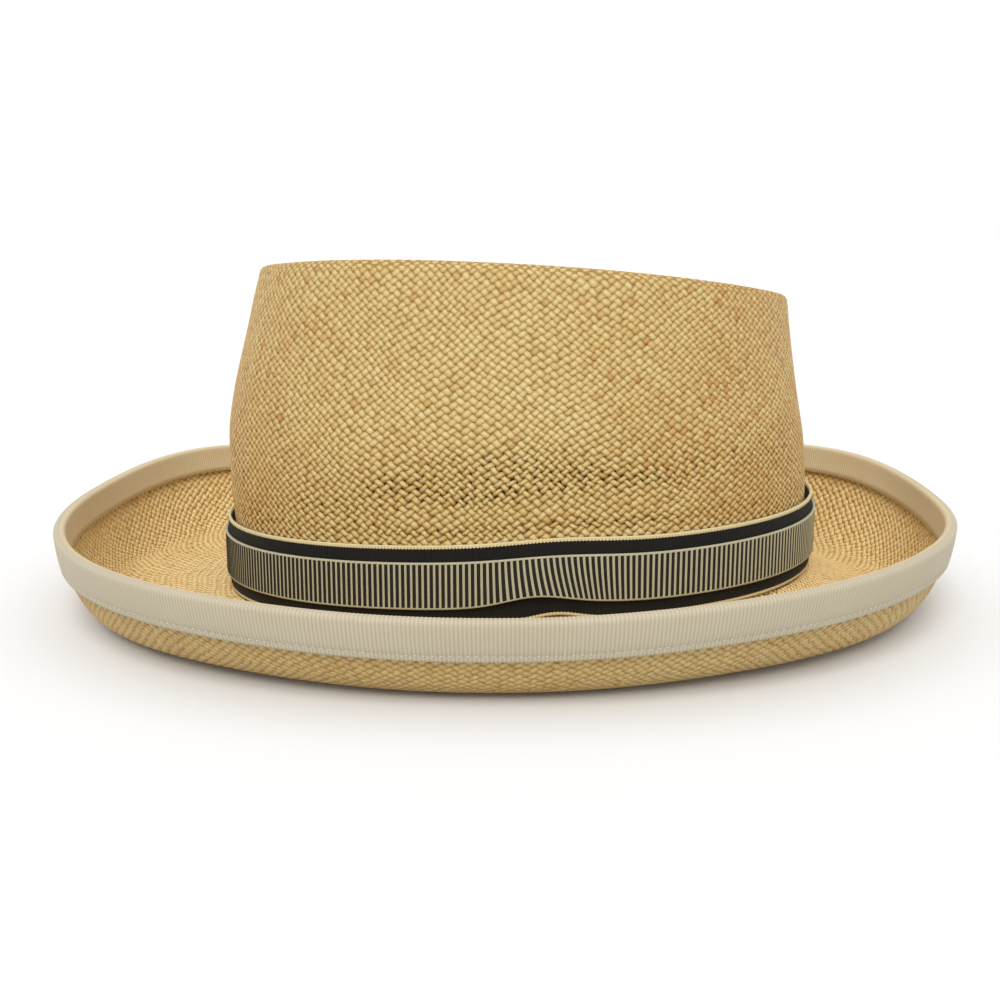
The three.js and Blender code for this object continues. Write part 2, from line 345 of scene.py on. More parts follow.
def even_ways(start, end, spacing):
    """Ways at even distances along the straw, and the distance between them."""
    fine = np.linspace(start, end, 1401)
    rings = straw(np.linspace(0, 2 * np.pi, 24, endpoint=False)[None, :], fine[:, None])
    run = np.linalg.norm(np.diff(rings, axis=0), axis=2).mean(axis=1).cumsum()
    run = np.concatenate([[0], run])
    count = max(int(round(run[-1] / spacing)), 1)
    return np.interp(np.linspace(0, run[-1], count + 1), run, fine)


def share_below_lip(angle, distance):
    """Way of the roll that lies a distance below the lip."""
    return LIP - distance / (LIP_HEIGHT * around_brim(0, angle) * LIP_LEAN)


print("from crest to root:", len(even_ways(SIDE, ROOT, 1)), "mm along the side")

# %% Meshes from rings of points
def ring_mesh(name, rings, closed, finish, floats=()):
    """A mesh through rings of points around the hat, in millimetres. Its map holds the share of a
    whole turn and the row's place across the rings."""
    rings = np.asarray(rings) * 0.001
    rows, steps = rings.shape[:2]
    strips = rows if closed else rows - 1
    row, step = np.meshgrid(np.arange(strips), np.arange(steps), indexing="ij")
    after, beside = (row + 1) % rows, (step + 1) % steps
    corners = ((row, step), (after, step), (after, beside), (row, beside))
    faces = np.stack([ring * steps + place for ring, place in corners], -1)
    mesh = bpy.data.meshes.new(name)
    mesh.from_pydata(rings.reshape(-1, 3).tolist(), [], faces.reshape(-1, 4).tolist())
    across = np.stack([row, row + 1, row + 1, row], -1) / max(strips, 1)
    around = np.stack([step, step, step + 1, step + 1], -1) / steps
    places = mesh.uv_layers.new(name="places")
    places.data.foreach_set("uv", np.stack([around, across], -1).reshape(-1))
    for label, values in dict(floats).items():
        layer = mesh.attributes.new(label, "FLOAT", "POINT")
        layer.data.foreach_set("value", np.broadcast_to(values, (rows, steps)).reshape(-1).astype(np.float32))
    mesh.polygons.foreach_set("use_smooth", [True] * len(mesh.polygons))
    mesh.materials.append(finish)
    piece = bpy.data.objects.new(name, mesh)
    SCENE.collection.objects.link(piece)
    return piece


def join_poles(piece):
    """Merges the points of a ring that has shrunk to one point."""
    edit = bmesh.new()
    edit.from_mesh(piece.data)
    bmesh.ops.remove_doubles(edit, verts=edit.verts, dist=1e-6)
    edit.to_mesh(piece.data)
    edit.free()


def settle(piece, slot, *nodes):
    """Gives a piece its body and hides the solids that it stands for. Its slot is not used."""
    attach(piece, "root")
    if nodes:
        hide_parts(*nodes)
    print(piece.name, len(piece.data.polygons), "faces")


print("mesh helpers are ready")

# %% [markdown]
# ## Finish of the straw
# Palm straw is pale gold with a low sheen. Single strands are lighter, darker or more orange than
# their neighbours, and the brim is warmer than the crown. Each stitch carries a tone of its own as
# an attribute, and a colour ramp turns it into a straw colour. Fine noise breaks it up further.

# %% Straw materials
STRAW_TONES = (
    # tone, crown colour, brim colour
    (0.0, (0.42, 0.20, 0.06), (0.56, 0.28, 0.09)),
    (0.15, (0.46, 0.28, 0.09), (0.62, 0.38, 0.14)),
    (0.45, (0.53, 0.385, 0.15), (0.73, 0.52, 0.22)),
    (0.8, (0.59, 0.46, 0.21), (0.79, 0.60, 0.30)),
    (1.0, (0.72, 0.62, 0.40), (0.88, 0.76, 0.50)),
)
CROWN, BRIM_FACE = 0, 1
# painted shade: the colour that the low rim of each float is multiplied towards
FLOAT_RIM_SHADE = (0.92, 0.76, 0.52, 1)


def carried(tree, name):
    """A number that the mesh carries, read by its material."""
    return add_node(tree, "ShaderNodeAttribute", attribute_name=name).outputs["Fac"]


def own_place(tree):
    return add_node(tree, "ShaderNodeTexCoord").outputs["Object"]


def noise(tree, place, scale, detail):
    inputs = {"Vector": place, "Scale": scale, "Detail": detail}
    return add_node(tree, "ShaderNodeTexNoise", inputs).outputs["Fac"]


def blend(tree, share, first, second, way="MIX"):
    """Mixes two colours by a share."""
    inputs = {0: share, 6: first, 7: second}
    return add_node(tree, "ShaderNodeMix", inputs, data_type="RGBA", blend_type=way).outputs[2]


def relief(tree, shader, height, strength, distance):
    """Bump on a shader, with its distance in metres."""
    bump = add_node(tree, "ShaderNodeBump", {"Height": height, "Strength": strength, "Distance": distance})
    tree.links.new(bump.outputs["Normal"], shader.inputs["Normal"])


def straw_colour(tree, column):
    """Straw colour for the tone that a mesh carries, broken up by noise in the straw's own place."""
    place = own_place(tree)
    shift = calc(tree, "MULTIPLY_ADD", noise(tree, place, 420.0, 3.0), 0.35, -0.175)
    drift = calc(tree, "MULTIPLY_ADD", noise(tree, place, 22.0, 2.0), 0.3, -0.15)
    tone = calc(tree, "ADD", calc(tree, "ADD", carried(tree, "tone"), shift), drift)
    ramp = add_node(tree, "ShaderNodeValToRGB", {"Fac": tone})
    stops = ramp.color_ramp.elements
    while len(stops) < len(STRAW_TONES):
        stops.new(0.5)
    for stop, (at, *colours) in zip(stops, STRAW_TONES):
        stop.position = at
        stop.color = (*colours[column], 1)
    return ramp.outputs["Color"]


def stitch_finish(name, column):
    finish, tree, shader = new_finish(name)
    # painted shade: each float is made darker and warmer towards its low rim, where it dips under its
    # neighbours
    rim_shade = add_node(tree, "ShaderNodeMapRange", {0: carried(tree, "arch"), 2: 0.6, 3: 0.6, 4: 0.0})
    colour = blend(tree, rim_shade.outputs[0], straw_colour(tree, column), FLOAT_RIM_SHADE, "MULTIPLY")
    tree.links.new(colour, shader.inputs["Base Color"])
    relief(tree, shader, noise(tree, own_place(tree), 2600.0, 2.0), 0.25, 0.0001)
    shader.inputs["Roughness"].default_value = 0.5
    shader.inputs["Specular IOR Level"].default_value = 0.35
    return finish


crown_straw = stitch_finish("crown_straw", CROWN)
brim_straw = stitch_finish("brim_straw", BRIM_FACE)
print("straw finishes:", crown_straw.name, brim_straw.name)

# %% [markdown]
# ## Ground of the weave
# Between the stitches one sees the strands that pass underneath. Their material paints them darker,
# as shade, since little light gets there, and paints the loose rows nearly black, as the shade of the
# hollow crown seen through the gaps. That ground is a plain thin wall, the whole way from the middle of
# the top to the lip and back along the other face. Its inner face shows inside the crown, so the pattern
# of the weave is in its material too, as relief and painted shade on the map of turns and rows.

# %% Ground material
WEAVE_COLUMNS = 172
GROUND_ROWS = 220


def ground_finish():
    finish, tree, shader = new_finish("straw_ground")
    places = add_node(tree, "ShaderNodeUVMap", uv_map="places").outputs["UV"]
    parts = add_node(tree, "ShaderNodeSeparateXYZ", {0: places})
    column = calc(tree, "MULTIPLY", parts.outputs["X"], WEAVE_COLUMNS * math.pi)
    row = calc(tree, "MULTIPLY", parts.outputs["Y"], GROUND_ROWS * math.pi)
    first, second = (
        calc(tree, "ABSOLUTE", calc(tree, "SINE", calc(tree, slant, column, row)))
        for slant in ("ADD", "SUBTRACT")
    )
    woven = calc(tree, "MULTIPLY", first, second)
    # painted shade: the woven pattern darkens the lines between the cells, and the depth attribute darkens
    # the loose rows nearly to black
    shade = add_node(tree, "ShaderNodeMapRange", {0: woven, 3: 0.6, 4: 1.0})
    held = calc(tree, "MULTIPLY", shade.outputs[0], carried(tree, "depth"))
    colour = blend(tree, 1.0, straw_colour(tree, CROWN), held, "MULTIPLY")
    tree.links.new(colour, shader.inputs["Base Color"])
    relief(tree, shader, woven, 0.6, 0.0004)
    shader.inputs["Roughness"].default_value = 0.65
    shader.inputs["Specular IOR Level"].default_value = 0.2
    return finish


straw_ground = ground_finish()
print("ground finish is ready")

# %% Ground of the crown and brim
GROUND_HALF_WALL = 0.28
GROUND_STEPS = 240
# the loose rows on the near side: height above the band, depth, and where they start to come down
LOOSE_HEIGHT, LOOSE_DEPTH, LOOSE_FALL, LOOSE_FALL_START = 18, 9, 0.16, -20
LOOSE_PLACE, LOOSE_LENGTH = 2, 62
FAR_LOOSE_HEIGHT, FAR_LOOSENESS = 12, 0.45
LOW_LOOSE_HEIGHT, LOW_LOOSE_DEPTH = 3.5, 2.2


def open_weave(angle, above_band):
    """How open the weave is, from 0 to 1, in the loose rows a little above the band."""
    x = head_point(angle, 0, 0)[..., 0]
    near = np.sin(angle) < 0
    near_height = LOOSE_HEIGHT + LOOSE_FALL * np.minimum(x - LOOSE_FALL_START, 0)
    height = np.where(near, near_height, FAR_LOOSE_HEIGHT)
    near_strength = 0.35 + 0.65 * np.exp(-(((x - LOOSE_PLACE) / LOOSE_LENGTH) ** 2))
    strength = np.where(near, near_strength, FAR_LOOSENESS)
    upper = 1.15 * strength * np.exp(-(((above_band - height) / LOOSE_DEPTH) ** 2))
    lower = 0.95 * strength * np.exp(-(((above_band - LOW_LOOSE_HEIGHT) / LOW_LOOSE_DEPTH) ** 2))
    patches = 0.8 + 0.2 * np.sin(7 * angle + 0.6) * np.sin(above_band * 0.5 + 3 * angle)
    return np.clip((upper + lower) * patches, 0, 1)


def near_bump(angle, place, length):
    """A smooth bump on the near side of the crown, from 0 to 1."""
    x = head_point(angle, STRAW_WALL, 0)[..., 0]
    return np.exp(-(((x - place) / length) ** 2)) * (np.sin(angle) < 0)


def band_bottom(angle):
    return root_top(angle) + BAND_LIFT + SWELL_LIFT * near_bump(angle, SWELL_PLACE, SWELL_LENGTH)


def band_top(angle):
    return band_bottom(angle) + BAND_WIDTH


ground_turns = turns_to_angles(np.arange(GROUND_STEPS) / GROUND_STEPS, 2.5)
ground_ways = np.concatenate([
    np.linspace(0, 0.78, 12),
    np.linspace(0.8, 0.99, 18),
    np.linspace(1, 2, 9),
    np.linspace(2, 3, 34)[1:],
    np.linspace(3, 4, 4)[1:],
    np.linspace(4, 5, 12)[1:],
    np.linspace(5, 6, 4)[1:],
    np.linspace(6, 7, 20)[1:],
])
middle = straw(ground_turns[None, :], ground_ways[:, None])
out = facing(ground_turns[None, :], ground_ways[:, None])
ground_rings = np.concatenate([middle + out * GROUND_HALF_WALL, (middle - out * GROUND_HALF_WALL)[::-1]])
loose = open_weave(ground_turns[None, :], middle[..., 2] - band_top(ground_turns))
loose = np.where((ground_ways[:, None] > SIDE) & (ground_ways[:, None] < ROOT), loose, 0)
# painted shade: the loose rows of the outer face are painted nearly black, as the shade of the hollow seen
# through the gaps
outer_hole_shade = 1.0 - 0.96 * np.clip(loose * 2.2, 0, 1)
ground_shades = np.concatenate([outer_hole_shade, np.full_like(outer_hole_shade, 1.0)[::-1]])
# the ground's tone of 0.2 is painted shade too: a darker straw for the strands that lie under the floats
ground = ring_mesh("straw_ground", ground_rings, False, straw_ground, {"depth": ground_shades, "tone": 0.2})
join_poles(ground)
settle(ground, "straw", "straw_top", "straw_side", "straw_brim", "straw_roll")

# %% [markdown]
# ## Stitches of the weave
# The straw is plain woven with its strands at a slant, so each crossing shows one short float of
# strand, and the floats lean one way in one row and the other way in the next. They are real
# shapes here, because the relief is what makes woven straw look woven. Geometry Nodes put a small
# closed pillow on each crossing, turned along its strand, and lay its points on the ground. The
# script only works out the crossings.

# %% Geometry Nodes tree for floats and stitches
def tree_input(tree, name, kind, value=None):
    socket = tree.interface.new_socket(name, in_out="INPUT", socket_type=kind)
    if value is not None:
        socket.default_value = value


def read(tree, name, kind="FLOAT"):
    """A value that the points carry, read inside a tree."""
    return add_node(tree, "GeometryNodeInputNamedAttribute", {"Name": name}, data_type=kind).outputs[0]


def keep(tree, geometry, name, value):
    """Keeps a number on the points of a geometry."""
    inputs = {"Geometry": geometry, "Name": name, "Value": value}
    kept = add_node(tree, "GeometryNodeStoreNamedAttribute", inputs, data_type="FLOAT", domain="POINT")
    return kept.outputs[0]


def finish_tree(tree, geometry, finish, output):
    """Gives a geometry its material and hands it out."""
    done = add_node(tree, "GeometryNodeSetMaterial", {"Geometry": geometry, "Material": finish})
    add_node(tree, "NodeGroupOutput", {output: done.outputs[0]})
    return tree


def stitch_tree():
    tree = bpy.data.node_groups.new("pillow_on_each_crossing", "GeometryNodeTree")
    tree_input(tree, "Crossings", "NodeSocketGeometry")
    tree_input(tree, "Surface", "NodeSocketObject")
    tree_input(tree, "Length Share", "NodeSocketFloat", 0.5)
    tree_input(tree, "Width Share", "NodeSocketFloat", 0.7)
    tree_input(tree, "Height", "NodeSocketFloat", 0.0003)
    tree_input(tree, "Sides", "NodeSocketInt", 6)
    tree_input(tree, "Finish", "NodeSocketMaterial")
    tree.interface.new_socket("Stitches", in_out="OUTPUT", socket_type="NodeSocketGeometry")
    given = add_node(tree, "NodeGroupInput").outputs
    normal = add_node(tree, "GeometryNodeInputNormal").outputs[0]
    spread, strand, upwards = (read(tree, name, "FLOAT_VECTOR") for name in ("spread", "strand", "upwards"))
    # the pillow: a dome over a shallower underside, with its height kept as an attribute
    ball = {"Segments": given["Sides"], "Rings": 2, "Radius": 1.0}
    pillow = add_node(tree, "GeometryNodeMeshUVSphere", ball).outputs["Mesh"]
    here = add_node(tree, "GeometryNodeInputPosition").outputs[0]
    height = add_node(tree, "ShaderNodeSeparateXYZ", {0: here}).outputs["Z"]
    arched = keep(tree, pillow, "arch", calc(tree, "MAXIMUM", height, calc(tree, "MULTIPLY", height, 0.3)))
    face = add_node(tree, "ShaderNodeSeparateXYZ", {0: normal}).outputs["Z"]
    on_top = add_node(tree, "FunctionNodeCompare", {0: face, 1: 0.0}, operation="GREATER_THAN").outputs[0]
    soft = add_node(tree, "GeometryNodeSetShadeSmooth", {"Geometry": arched, "Selection": on_top})
    # one pillow on each crossing, along its strand
    axes = {"Primary Axis": upwards, "Secondary Axis": strand}
    turned = add_node(tree, "FunctionNodeAxesToRotation", axes, primary_axis="Z", secondary_axis="X")
    parts = add_node(tree, "ShaderNodeSeparateXYZ", {0: spread}).outputs
    shares = (("X", "Length Share"), ("Y", "Width Share"), ("Z", "Height"))
    scale = add_node(tree, "ShaderNodeCombineXYZ", {
        axis: calc(tree, "MULTIPLY", parts[axis], given[name]) for axis, name in shares
    })
    placed = add_node(tree, "GeometryNodeInstanceOnPoints", {
        "Points": given["Crossings"], "Instance": soft.outputs[0],
        "Rotation": turned.outputs[0], "Scale": scale.outputs[0],
    })
    real = add_node(tree, "GeometryNodeRealizeInstances", {"Geometry": placed.outputs[0]})
    # every point is laid on the surface and lifted by its own height, so a float bends with the straw
    below = add_node(tree, "GeometryNodeObjectInfo", {"Object": given["Surface"]}).outputs["Geometry"]
    nearest = add_node(tree, "GeometryNodeProximity", {0: below}, target_element="FACES").outputs["Position"]
    sampled = {"Mesh": below, "Value": normal}
    out = add_node(tree, "GeometryNodeSampleNearestSurface", sampled, data_type="FLOAT_VECTOR").outputs[0]
    rise = calc(tree, "MULTIPLY", calc(tree, "MULTIPLY", read(tree, "arch"), given["Height"]), parts["Z"])
    lift = add_node(tree, "ShaderNodeVectorMath", {0: out, "Scale": rise}, operation="SCALE").outputs[0]
    laid = add_node(tree, "ShaderNodeVectorMath", {0: nearest, 1: lift}, operation="ADD").outputs[0]
    wrapped = add_node(tree, "GeometryNodeSetPosition", {"Geometry": real.outputs[0], "Position": laid})
    return finish_tree(tree, wrapped.outputs[0], given["Finish"], "Stitches")


STITCHES = stitch_tree()
print("tree inputs:", [item.name for item in STITCHES.interface.items_tree if item.in_out == "INPUT"])

# %% From crossings to a plain mesh
def run_tree(piece, tree, values):
    """Runs a tree on a piece with values for its named inputs, and keeps the plain mesh."""
    modifier = piece.modifiers.new("made", "NODES")
    modifier.node_group = tree
    for item in tree.interface.items_tree:
        if item.name in values:
            modifier[item.identifier] = values[item.name]
    graph = bpy.context.evaluated_depsgraph_get()
    plain = bpy.data.meshes.new_from_object(
        piece.evaluated_get(graph), preserve_all_data_layers=True, depsgraph=graph
    )
    rough = piece.data
    piece.modifiers.clear()
    piece.data = plain
    bpy.data.meshes.remove(rough)
    plain.name = piece.name


def point_piece(name, points, vectors, tones):
    """Loose points in millimetres with the attributes that the tree reads."""
    mesh = bpy.data.meshes.new(name + "_points")
    mesh.from_pydata((points.reshape(-1, 3) * 0.001).tolist(), [], [])
    for label, values in vectors.items():
        layer = mesh.attributes.new(label, "FLOAT_VECTOR", "POINT")
        layer.data.foreach_set("vector", values.reshape(-1).astype(np.float32))
    layer = mesh.attributes.new("tone", "FLOAT", "POINT")
    layer.data.foreach_set("value", tones.reshape(-1).astype(np.float32))
    piece = bpy.data.objects.new(name, mesh)
    SCENE.collection.objects.link(piece)
    return piece


LOOSE_SHORTENING = 0.3
FLOAT_SINK = 0.02


def weave(name, crossings, diagonals, up, leans, tones, loose, finish, height=0.17):
    """Floats on crossings. The two diagonals join the crossings before and after along each
    strand, leans picks the strand on top, and loose is the share of its width that a float lacks.
    A loose float is a little shorter too."""
    own = np.where(leans[..., None], diagonals[0], diagonals[1])
    cell = np.linalg.norm(np.cross(*diagonals), axis=-1) / 4
    length = np.linalg.norm(own, axis=-1)
    width = cell / (length / 2) * RANDOM.uniform(0.88, 1.12, length.shape) * (1 - loose)
    length = length * (1 - LOOSE_SHORTENING * loose)
    spread = point(length * 0.001, width * 0.001, RANDOM.uniform(0.85, 1.15, length.shape))
    askew = RANDOM.normal(0, 0.09, length.shape)[..., None]
    vectors = {"spread": spread, "strand": unit(unit(own) + np.cross(up, unit(own)) * askew), "upwards": up}
    piece = point_piece(name, crossings + up * (GROUND_HALF_WALL - FLOAT_SINK), vectors, tones)
    run_tree(piece, STITCHES, {
        "Surface": ground, "Length Share": 0.52, "Width Share": 0.72, "Height": height * 0.001,
        "Sides": 6, "Finish": finish,
    })
    settle(piece, "straw")
    return piece


print("weave helpers are ready")

# %% Crossings around the crown and brim
RANDOM = np.random.default_rng(7)


def strand_tones(first, second, leans, strands):
    """Each strand has a tone, each float its own small change, and a few are pale or orange."""
    tone = RANDOM.normal((0.56, 0.46), 0.06, (strands, 2)).T
    tones = np.where(leans, tone[0][first % strands], tone[1][second % strands])
    tones = tones + RANDOM.normal(0, 0.06, tones.shape)
    chance = RANDOM.random(tones.shape)
    tones = np.where(chance < 0.01, 0.2, tones)
    return np.clip(np.where(chance > 0.998, 0.75, tones), 0, 1)


def crossings_around(columns, start, end, row_height, reference):
    """Crossings in rows around the hat, every other row half a column on."""
    ways = even_ways(start, end, row_height)
    row = np.arange(len(ways))[:, None]
    column = np.arange(columns)[None, :] + (row % 2) / 2

    def place(columns_on, rows_on):
        """Angle and way of a crossing. The rows and columns wander a little, as by hand."""
        turn, rows = (column + columns_on) / columns, row + rows_on
        round_hat = 2 * np.pi * turn
        wander = 0.30 * np.sin(7 * round_hat + 0.11 * rows) + 0.22 * np.sin(17 * round_hat - 0.17 * rows)
        drift = 0.35 * np.sin(11 * round_hat - 0.09 * rows) + 0.25 * np.sin(23 * round_hat + 0.2 * rows)
        inner = np.clip(np.minimum(rows, len(ways) - 1 - rows) / 6, 0, 1)
        angle = turns_to_angles(turn + wander / columns, reference)
        return angle, np.interp(rows + drift * inner, np.arange(len(ways)), ways)

    def at(columns_on, rows_on):
        return straw(*place(columns_on, rows_on))

    angle, way = place(RANDOM.normal(0, 0.04, column.shape), RANDOM.normal(0, 0.05, column.shape))
    diagonals = (at(0.5, 1) - at(-0.5, -1), at(-0.5, 1) - at(0.5, -1))
    double = (2 * column).astype(int)
    leans = np.broadcast_to(row % 2 == 0, angle.shape)
    tones = strand_tones(double - row, double + row, leans, 2 * columns)
    return straw(angle, way), diagonals, facing(angle, way), leans, tones, angle, way


print("crossings helper is ready")

# %% Weave on the side of the crown
CROWN_WEAVE_START, CROWN_WEAVE_END, CROWN_ROW = 0.875, 2.98, 1.22
WEAVE_BEHIND_BAND = 7
END_SHADE_SHARE, END_SHADE_FROM = 0.24, 75

points, diagonals, up, leans, tones, angle, way = crossings_around(
    WEAVE_COLUMNS, CROWN_WEAVE_START, CROWN_WEAVE_END, CROWN_ROW, 2.5
)
above_band = points[..., 2] - band_top(angle)
loose = 0.48 * open_weave(angle, above_band) * RANDOM.uniform(0.65, 1.05, angle.shape)
seen = (above_band > -WEAVE_BEHIND_BAND) | (way < SIDE)
# painted shade: the crown's tone is lowered towards its front and back, which turn away from the light, so
# they are darker and more orange than its sides
tones = tones - END_SHADE_SHARE * np.clip((points[..., 0] / END_SHADE_FROM) ** 2, 0, 1)
weave("crown_side_weave", points[seen], (diagonals[0][seen], diagonals[1][seen]), up[seen],
      leans[seen], np.clip(tones[seen], 0, 1), loose[seen], crown_straw)

# %% [markdown]
# ## Weave on the top of the crown
# Weaving starts in the middle of the top, where the strands cross as a plain square mesh. Its
# floats therefore lie on a flat slanted grid and not in rings, up to the crest. Each one is then
# lowered onto the crease.

# %% Weave on the top of the crown
CROSSING = 1.55
TOP_WEAVE_REACH = 0.892
half = int(CREST_LENGTH / 2 / CROSSING) + 4
i, j = np.meshgrid(np.arange(-half, half + 1), np.arange(-half, half + 1), indexing="ij")


def top_place(x, y):
    """Angle and reach of the point of the crest oval above a place on the top."""
    u, v = x / (CREST_LENGTH / 2 - CREST_RADIUS), y / (CREST_WIDTH / 2 - CREST_RADIUS)
    reach = (np.abs(u) ** HEAD_OVAL_POWER + np.abs(v) ** HEAD_OVAL_POWER) ** (1 / HEAD_OVAL_POWER)
    cosine = np.sign(u) * (np.abs(u) / np.maximum(reach, 1e-9)) ** (HEAD_OVAL_POWER / 2)
    sine = np.sign(v) * (np.abs(v) / np.maximum(reach, 1e-9)) ** (HEAD_OVAL_POWER / 2)
    return np.arctan2(sine, cosine), reach


def on_top(x, y):
    angle, reach = top_place(x, y)
    return straw(angle, np.minimum(reach, 1)), angle, reach


x = (i + j) * CROSSING + RANDOM.normal(0, 0.05, i.shape)
y = (i - j) * CROSSING + RANDOM.normal(0, 0.05, i.shape)
inside = top_place(x, y)[1] < TOP_WEAVE_REACH
i, j, x, y = i[inside], j[inside], x[inside], y[inside]
points, angle, reach = on_top(x, y)
ahead = on_top(x + CROSSING, y + CROSSING)[0] - on_top(x - CROSSING, y - CROSSING)[0]
aside = on_top(x + CROSSING, y - CROSSING)[0] - on_top(x - CROSSING, y + CROSSING)[0]
up = facing(angle, np.minimum(reach, 0.99))
leans = (i + j) % 2 == 0
tones = strand_tones(j + half, i + half, leans, 2 * half + 2)
weave("crown_top_weave", points, (ahead, aside), up, leans, tones, np.zeros(len(x)), crown_straw)

# %% Weave on both faces of the brim
BRIM_COLUMNS, BRIM_ROW = 252, 1.35
WEAVE_UNDER_BINDING = 1.5
for name, side, start, height, tone_spread, tone_shift, finish in (
    ("brim_upper_weave", 1, 3.2, 0.19, 1, 0, brim_straw),
    ("brim_under_weave", -1, 3.4, 0.11, 0.5, 0.1, crown_straw),
):
    points, diagonals, up, leans, tones, angle, way = crossings_around(
        BRIM_COLUMNS, start, LIP - 0.01, BRIM_ROW, 5.5
    )
    covered = BINDING_INNER_WIDTH if side > 0 else BINDING_OUTER_WIDTH
    seen = way < share_below_lip(angle, covered - WEAVE_UNDER_BINDING)
    tones = np.clip(tones * tone_spread + tone_shift, 0, 1)
    weave(name, points[seen], (diagonals[0][seen], diagonals[1][seen]), side * up[seen],
          leans[seen], tones[seen], np.zeros(seen.sum()), finish, height)

# %% [markdown]
# ## Ribbed ribbons
# All three ribbons are ribbed across, as a corded ribbon is. A ribbon could be a flat strip with
# the ribs as bump, but then its edges stay smooth. Here the strip is a real wall with three to six
# points to each rib, and a second tree draws the points in between the ribs. The same tree leaves
# an attribute that tells the material where the grooves are, and the cream and black ribbons paint
# shade into them.

# %% Geometry Nodes tree for ribs
def rib_tree():
    tree = bpy.data.node_groups.new("ribs_across_ribbon", "GeometryNodeTree")
    tree_input(tree, "Ribbon", "NodeSocketGeometry")
    tree_input(tree, "Ribs Around", "NodeSocketInt", 600)
    tree_input(tree, "Rib Depth", "NodeSocketFloat", 0.0002)
    tree_input(tree, "Finish", "NodeSocketMaterial")
    tree.interface.new_socket("Ribbed", in_out="OUTPUT", socket_type="NodeSocketGeometry")
    given = add_node(tree, "NodeGroupInput").outputs
    count = calc(tree, "MULTIPLY", read(tree, "turn"), given["Ribs Around"])
    crown = calc(tree, "ABSOLUTE", calc(tree, "SINE", calc(tree, "MULTIPLY", count, math.pi)))
    deep = calc(tree, "MULTIPLY", calc(tree, "ADD", crown, -1.0), given["Rib Depth"])
    reach = calc(tree, "MULTIPLY", deep, read(tree, "proud"))
    normal = add_node(tree, "GeometryNodeInputNormal").outputs[0]
    push = add_node(tree, "ShaderNodeVectorMath", {0: normal, "Scale": reach}, operation="SCALE").outputs[0]
    moved = add_node(tree, "GeometryNodeSetPosition", {"Geometry": given["Ribbon"], "Offset": push})
    marked = keep(tree, moved.outputs[0], "groove", calc(tree, "SUBTRACT", 1.0, crown))
    real = add_node(tree, "GeometryNodeRealizeInstances", {"Geometry": marked})
    return finish_tree(tree, real.outputs[0], given["Finish"], "Ribbed")


RIBS = rib_tree()


def ribbed(piece, ribs, depth, finish):
    run_tree(piece, RIBS, {"Ribs Around": ribs, "Rib Depth": depth * 0.001, "Finish": finish})


print("ribs tree is ready")

# %% [markdown]
# ## Binding of the brim
# The binding is a cream corded ribbon folded over the lip and sewn down through the straw. Its
# outer leg is a little longer than its inner one. It is made as a section of outer leg, fold and
# inner leg, swept around the lip, and the straw's own surface gives the section its place.

# %% Cream ribbon material
def ribbon_shader(name, roughness, sheen):
    finish, tree, shader = new_finish(name)
    relief(tree, shader, noise(tree, own_place(tree), 1800.0, 3.0), 0.35, 0.0001)
    shader.inputs["Roughness"].default_value = roughness
    shader.inputs["Specular IOR Level"].default_value = 0.25
    shader.inputs["Sheen Weight"].default_value = sheen
    shader.inputs["Sheen Roughness"].default_value = 0.5
    return finish, tree, shader


def binding_finish():
    """Cream outside. The inner leg and the fold next to it are painted warmer and lighter, as light that the
    straw throws back on the ribbon.
    """
    finish, tree, shader = ribbon_shader("cream_ribbon", 0.75, 0.1)
    soil = noise(tree, own_place(tree), 35.0, 3.0)
    cream = blend(tree, soil, (0.48, 0.427, 0.315, 1), (0.43, 0.378, 0.267, 1))
    # painted bounce light: the warmer, lighter colour of the inner leg
    straw_bounce = blend(tree, soil, (0.73, 0.59, 0.36, 1), (0.67, 0.52, 0.29, 1))
    colour = blend(tree, carried(tree, "inner"), cream, straw_bounce)
    # painted shade: the grooves between the ribs are mixed half way towards a dark brown
    deep = calc(tree, "MULTIPLY", carried(tree, "groove"), 0.5)
    tree.links.new(blend(tree, deep, colour, (0.27, 0.22, 0.15, 1)), shader.inputs["Base Color"])
    return finish


cream_ribbon = binding_finish()
print("binding finish is ready")

# %% Binding ribbon
BINDING_RIBS = 820
NEAR, FAR = HALF_WALL + CLEARANCE, HALF_WALL + CLEARANCE + RIBBON_WALL
SEAM_RISE = 1.8
SEAM_PULL, EDGE_PULL, SCALLOP = 0.3, 0.2, 0.16
BINDING_STITCHES = 400
INNER_ROWS = np.linspace(BINDING_INNER_WIDTH, 0.6, 5)
FOLD_TURNS = np.radians([10, 40, 70, 90, 110, 140, 170])
OUTER_ROWS = (0.6, 2.5, 4.5, 6.5, 7.7, 8.1, 8.5, 8.9, 9.3, 9.8, BINDING_OUTER_WIDTH)


def binding_ring(angle, distance, side):
    """Points beside the straw, a distance below the lip and to one side of its middle."""
    way = share_below_lip(angle, distance)
    return straw(angle, way) + facing(angle, way) * side


def pucker(angle_turns, distance):
    """The thread pulls the ribbon in a little at its seam and scallops its lower edge."""
    pull = 0.5 + 0.5 * np.cos(2 * np.pi * BINDING_STITCHES * angle_turns)
    at_seam = np.exp(-(((distance - (BINDING_OUTER_WIDTH - SEAM_RISE)) / 0.5) ** 2))
    below = np.clip((distance - (BINDING_OUTER_WIDTH - SEAM_RISE)) / SEAM_RISE, 0, 1)
    return SEAM_PULL * at_seam * (0.3 + 0.7 * pull) + EDGE_PULL * below * pull


turns = np.arange(BINDING_RIBS * 3) / (BINDING_RIBS * 3)
angles = turns_to_angles(turns, 6.8)
up_at_lip = unit(straw(angles, LIP) - straw(angles, LIP - 0.05))
out_at_lip = facing(angles, LIP - 0.001)
rings, proud, inner = [], [], []


def lay(ring, how_proud, how_inner):
    rings.append(ring)
    proud.append(how_proud)
    inner.append(how_inner)


